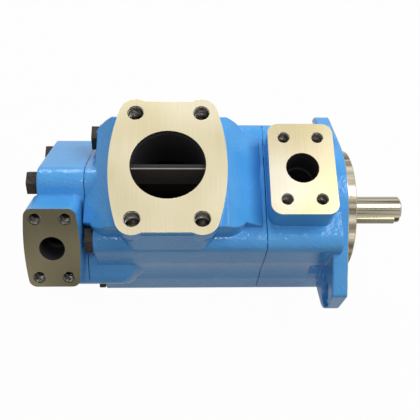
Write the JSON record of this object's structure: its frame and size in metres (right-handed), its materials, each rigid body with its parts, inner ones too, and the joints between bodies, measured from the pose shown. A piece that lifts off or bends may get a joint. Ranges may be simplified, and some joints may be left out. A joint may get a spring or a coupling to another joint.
{
  "type": "tandem hydraulic vane pump",
  "caption": "Tandem hydraulic vane pump with a two-bolt mounting flange, keyed drive shaft, flanged inlet on top, and one outlet port on each end casting.",
  "frame": {"origin": "centre of the mounting face, on the drive shaft's axis", "axes": "+X along the shaft, out of the drive end; +Z out of the inlet port; the mounting lugs lie along Y"},
  "size_m": [0.3088, 0.171, 0.1504],
  "materials": {
    "painted_casting": "satin blue paint over cast iron, machined faces bare",
    "black_oxide_steel": "black oxide",
    "turned_steel": "fine turned",
    "ground_steel": "ground",
    "cage_steel": "pressed",
    "bronze": "lapped bronze",
    "seal_rubber": "matte"
  },
  "bodies": {
    "housing": {"front_body": "painted_casting", "inlet_housing": "painted_casting", "rear_cover": "painted_casting", "body_bolts": "black_oxide_steel", "cover_bolts": "black_oxide_steel", "front_joint_seal": "seal_rubber", "rear_joint_seal": "seal_rubber", "front_bearing_outer_race": "ground_steel", "rear_bearing_outer_race": "ground_steel", "bearing_snap_ring": "ground_steel", "shaft_seal": "seal_rubber", "front_cam_ring": "ground_steel", "front_outlet_plate": "bronze", "front_inlet_plate": "bronze", "front_dowel_pins": "ground_steel", "front_cartridge_screws": "ground_steel", "rear_cam_ring": "ground_steel", "rear_outlet_plate": "bronze", "rear_inlet_plate": "bronze", "rear_dowel_pins": "ground_steel", "rear_cartridge_screws": "ground_steel"},
    "shaft": {"drive_shaft": "turned_steel", "shaft_key": "turned_steel", "shaft_snap_ring": "ground_steel", "front_bearing_inner_race": "ground_steel", "rear_bearing_inner_race": "ground_steel", "front_rotor": "ground_steel", "rear_rotor": "ground_steel", "front_vane_inserts": "ground_steel", "rear_vane_inserts": "ground_steel"},
    "front_ball_cage": {"front_bearing_balls": "ground_steel", "front_bearing_cage": "cage_steel"},
    "rear_ball_cage": {"rear_bearing_balls": "ground_steel", "rear_bearing_cage": "cage_steel"},
    "front_vane_01": {"front_vane_01": "ground_steel"},
    "front_vane_02": {"front_vane_02": "ground_steel"},
    "front_vane_03": {"front_vane_03": "ground_steel"},
    "front_vane_04": {"front_vane_04": "ground_steel"},
    "front_vane_05": {"front_vane_05": "ground_steel"},
    "front_vane_06": {"front_vane_06": "ground_steel"},
    "front_vane_07": {"front_vane_07": "ground_steel"},
    "front_vane_08": {"front_vane_08": "ground_steel"},
    "front_vane_09": {"front_vane_09": "ground_steel"},
    "front_vane_10": {"front_vane_10": "ground_steel"},
    "rear_vane_01": {"rear_vane_01": "ground_steel"},
    "rear_vane_02": {"rear_vane_02": "ground_steel"},
    "rear_vane_03": {"rear_vane_03": "ground_steel"},
    "rear_vane_04": {"rear_vane_04": "ground_steel"},
    "rear_vane_05": {"rear_vane_05": "ground_steel"},
    "rear_vane_06": {"rear_vane_06": "ground_steel"},
    "rear_vane_07": {"rear_vane_07": "ground_steel"},
    "rear_vane_08": {"rear_vane_08": "ground_steel"},
    "rear_vane_09": {"rear_vane_09": "ground_steel"},
    "rear_vane_10": {"rear_vane_10": "ground_steel"}
  },
  "joints": [
    {"name": "shaft_spin", "type": "hinge", "parent": "housing", "child": "shaft", "pos_m": [0, 0, 0], "axis": [1, 0, 0], "continuous": true},
    {"name": "front_ball_cage_spin", "type": "hinge", "parent": "housing", "child": "front_ball_cage", "pos_m": [-0.0025, 0, 0], "axis": [1, 0, 0], "continuous": true},
    {"name": "rear_ball_cage_spin", "type": "hinge", "parent": "housing", "child": "rear_ball_cage", "pos_m": [-0.226, 0, 0], "axis": [1, 0, 0], "continuous": true},
    {"name": "front_vane_01_slide", "type": "slide", "parent": "shaft", "child": "front_vane_01", "axis": [0, 0.9511, 0.309], "range_m": [0, 0.000575]},
    {"name": "front_vane_02_slide", "type": "slide", "parent": "shaft", "child": "front_vane_02", "axis": [0, 0.5878, 0.809], "range_m": [0, 0.00248]},
    {"name": "front_vane_03_slide", "type": "slide", "parent": "shaft", "child": "front_vane_03", "axis": [0, 0, 1], "range_m": [0, 0.00365]},
    {"name": "front_vane_04_slide", "type": "slide", "parent": "shaft", "child": "front_vane_04", "axis": [0, -0.5878, 0.809], "range_m": [0, 0.00248]},
    {"name": "front_vane_05_slide", "type": "slide", "parent": "shaft", "child": "front_vane_05", "axis": [0, -0.9511, 0.309], "range_m": [0, 0.000575]},
    {"name": "front_vane_06_slide", "type": "slide", "parent": "shaft", "child": "front_vane_06", "axis": [0, -0.9511, -0.309], "range_m": [0, 0.000575]},
    {"name": "front_vane_07_slide", "type": "slide", "parent": "shaft", "child": "front_vane_07", "axis": [0, -0.5878, -0.809], "range_m": [0, 0.00248]},
    {"name": "front_vane_08_slide", "type": "slide", "parent": "shaft", "child": "front_vane_08", "axis": [0, 0, -1], "range_m": [0, 0.00365]},
    {"name": "front_vane_09_slide", "type": "slide", "parent": "shaft", "child": "front_vane_09", "axis": [0, 0.5878, -0.809], "range_m": [0, 0.00248]},
    {"name": "front_vane_10_slide", "type": "slide", "parent": "shaft", "child": "front_vane_10", "axis": [0, 0.9511, -0.309], "range_m": [0, 0.000575]},
    {"name": "rear_vane_01_slide", "type": "slide", "parent": "shaft", "child": "rear_vane_01", "axis": [0, 0.9511, 0.309], "range_m": [0, 0.000536]},
    {"name": "rear_vane_02_slide", "type": "slide", "parent": "shaft", "child": "rear_vane_02", "axis": [0, 0.5878, 0.809], "range_m": [0, 0.00221]},
    {"name": "rear_vane_03_slide", "type": "slide", "parent": "shaft", "child": "rear_vane_03", "axis": [0, 0, 1], "range_m": [0, 0.00325]},
    {"name": "rear_vane_04_slide", "type": "slide", "parent": "shaft", "child": "rear_vane_04", "axis": [0, -0.5878, 0.809], "range_m": [0, 0.00221]},
    {"name": "rear_vane_05_slide", "type": "slide", "parent": "shaft", "child": "rear_vane_05", "axis": [0, -0.9511, 0.309], "range_m": [0, 0.000536]},
    {"name": "rear_vane_06_slide", "type": "slide", "parent": "shaft", "child": "rear_vane_06", "axis": [0, -0.9511, -0.309], "range_m": [0, 0.000536]},
    {"name": "rear_vane_07_slide", "type": "slide", "parent": "shaft", "child": "rear_vane_07", "axis": [0, -0.5878, -0.809], "range_m": [0, 0.00221]},
    {"name": "rear_vane_08_slide", "type": "slide", "parent": "shaft", "child": "rear_vane_08", "axis": [0, 0, -1], "range_m": [0, 0.00325]},
    {"name": "rear_vane_09_slide", "type": "slide", "parent": "shaft", "child": "rear_vane_09", "axis": [0, 0.5878, -0.809], "range_m": [0, 0.00221]},
    {"name": "rear_vane_10_slide", "type": "slide", "parent": "shaft", "child": "rear_vane_10", "axis": [0, 0.9511, -0.309], "range_m": [0, 0.000536]}
  ],
  "couplings": [
    {"joint": "front_ball_cage_spin", "follows": "shaft_spin", "ratio": 0.3987},
    {"joint": "rear_ball_cage_spin", "follows": "shaft_spin", "ratio": 0.3789}
  ]
}
